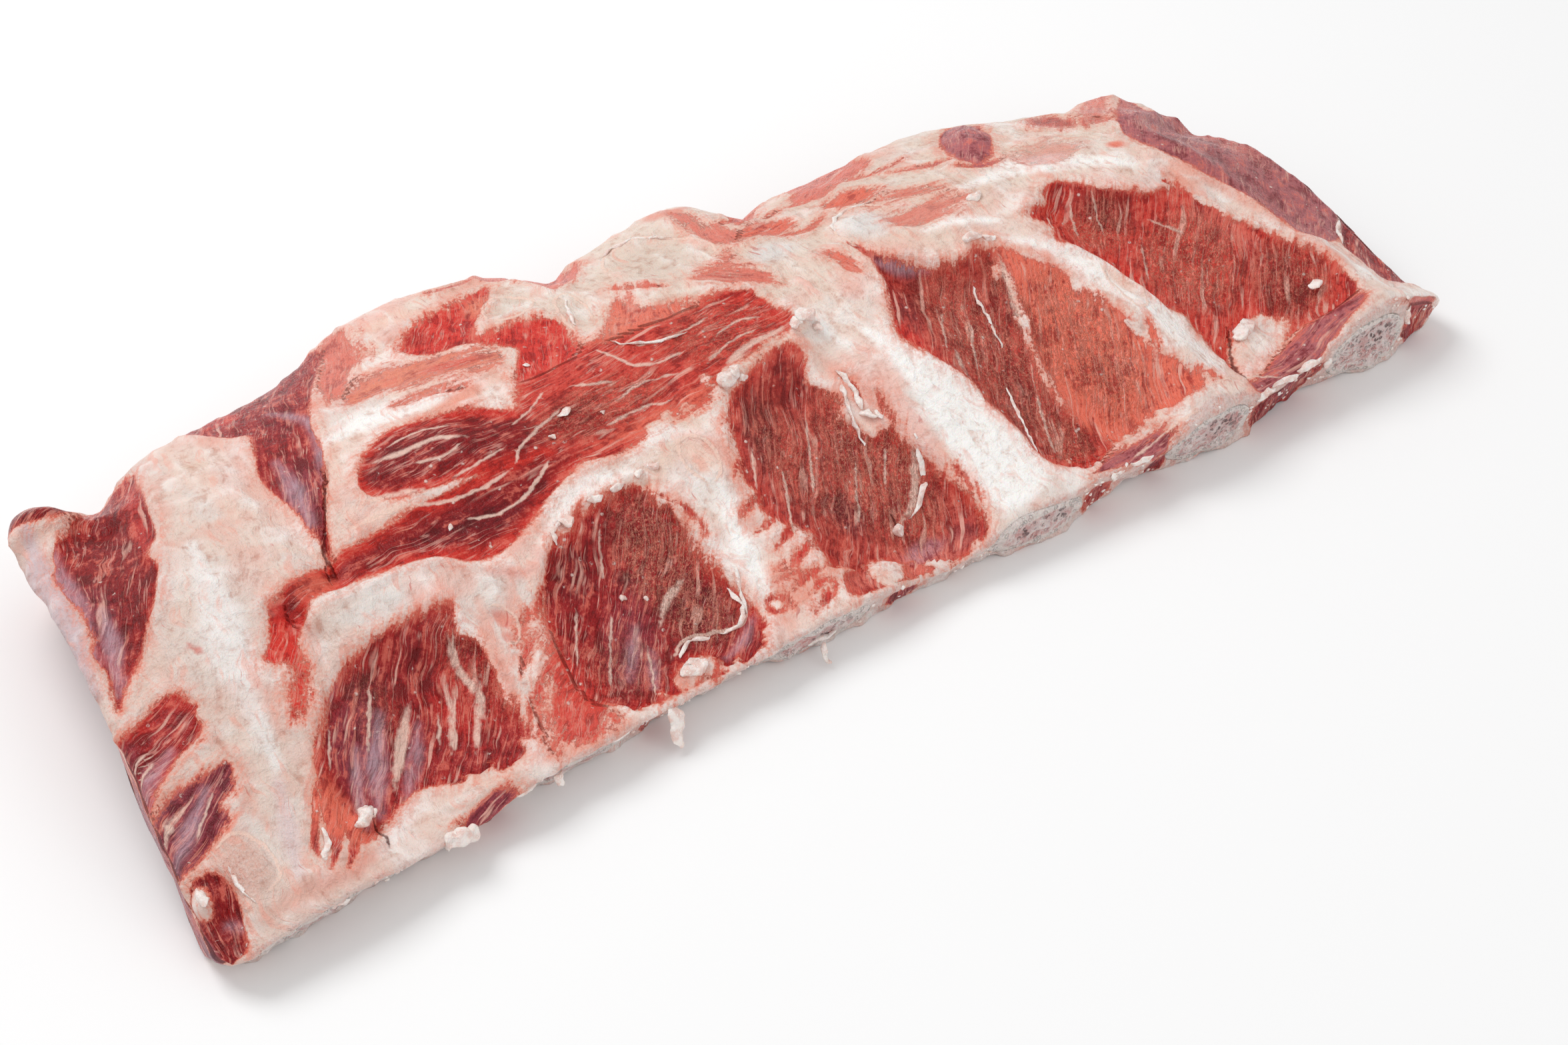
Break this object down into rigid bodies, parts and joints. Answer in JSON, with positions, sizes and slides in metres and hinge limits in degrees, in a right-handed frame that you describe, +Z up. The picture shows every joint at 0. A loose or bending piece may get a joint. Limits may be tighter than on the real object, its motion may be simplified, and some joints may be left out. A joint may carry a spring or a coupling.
{
  "type": "raw beef back ribs",
  "caption": "Raw rack of beef back ribs, arched, with bones running across it and sawn flush in front, lean and fat between them. Rests on its two long edges.",
  "frame": {"origin": "under the middle of the rack, on the plane that it rests on", "axes": "+X along the rack, towards its thicker end; -Y towards the sawn edge; +Z up, out of its outer side"},
  "size_m": [0.435, 0.1908, 0.0484],
  "materials": {
    "meat": "moist raw beef, lean streaked with cream fat",
    "bone": "moist sawn bone"
  },
  "bodies": {
    "root": {"rib_meat": "meat", "rib_bone_1": "bone", "rib_bone_2": "bone", "rib_bone_3": "bone", "rib_bone_4": "bone", "rib_bone_5": "bone", "rib_bone_6": "bone"}
  },
  "joints": []
}
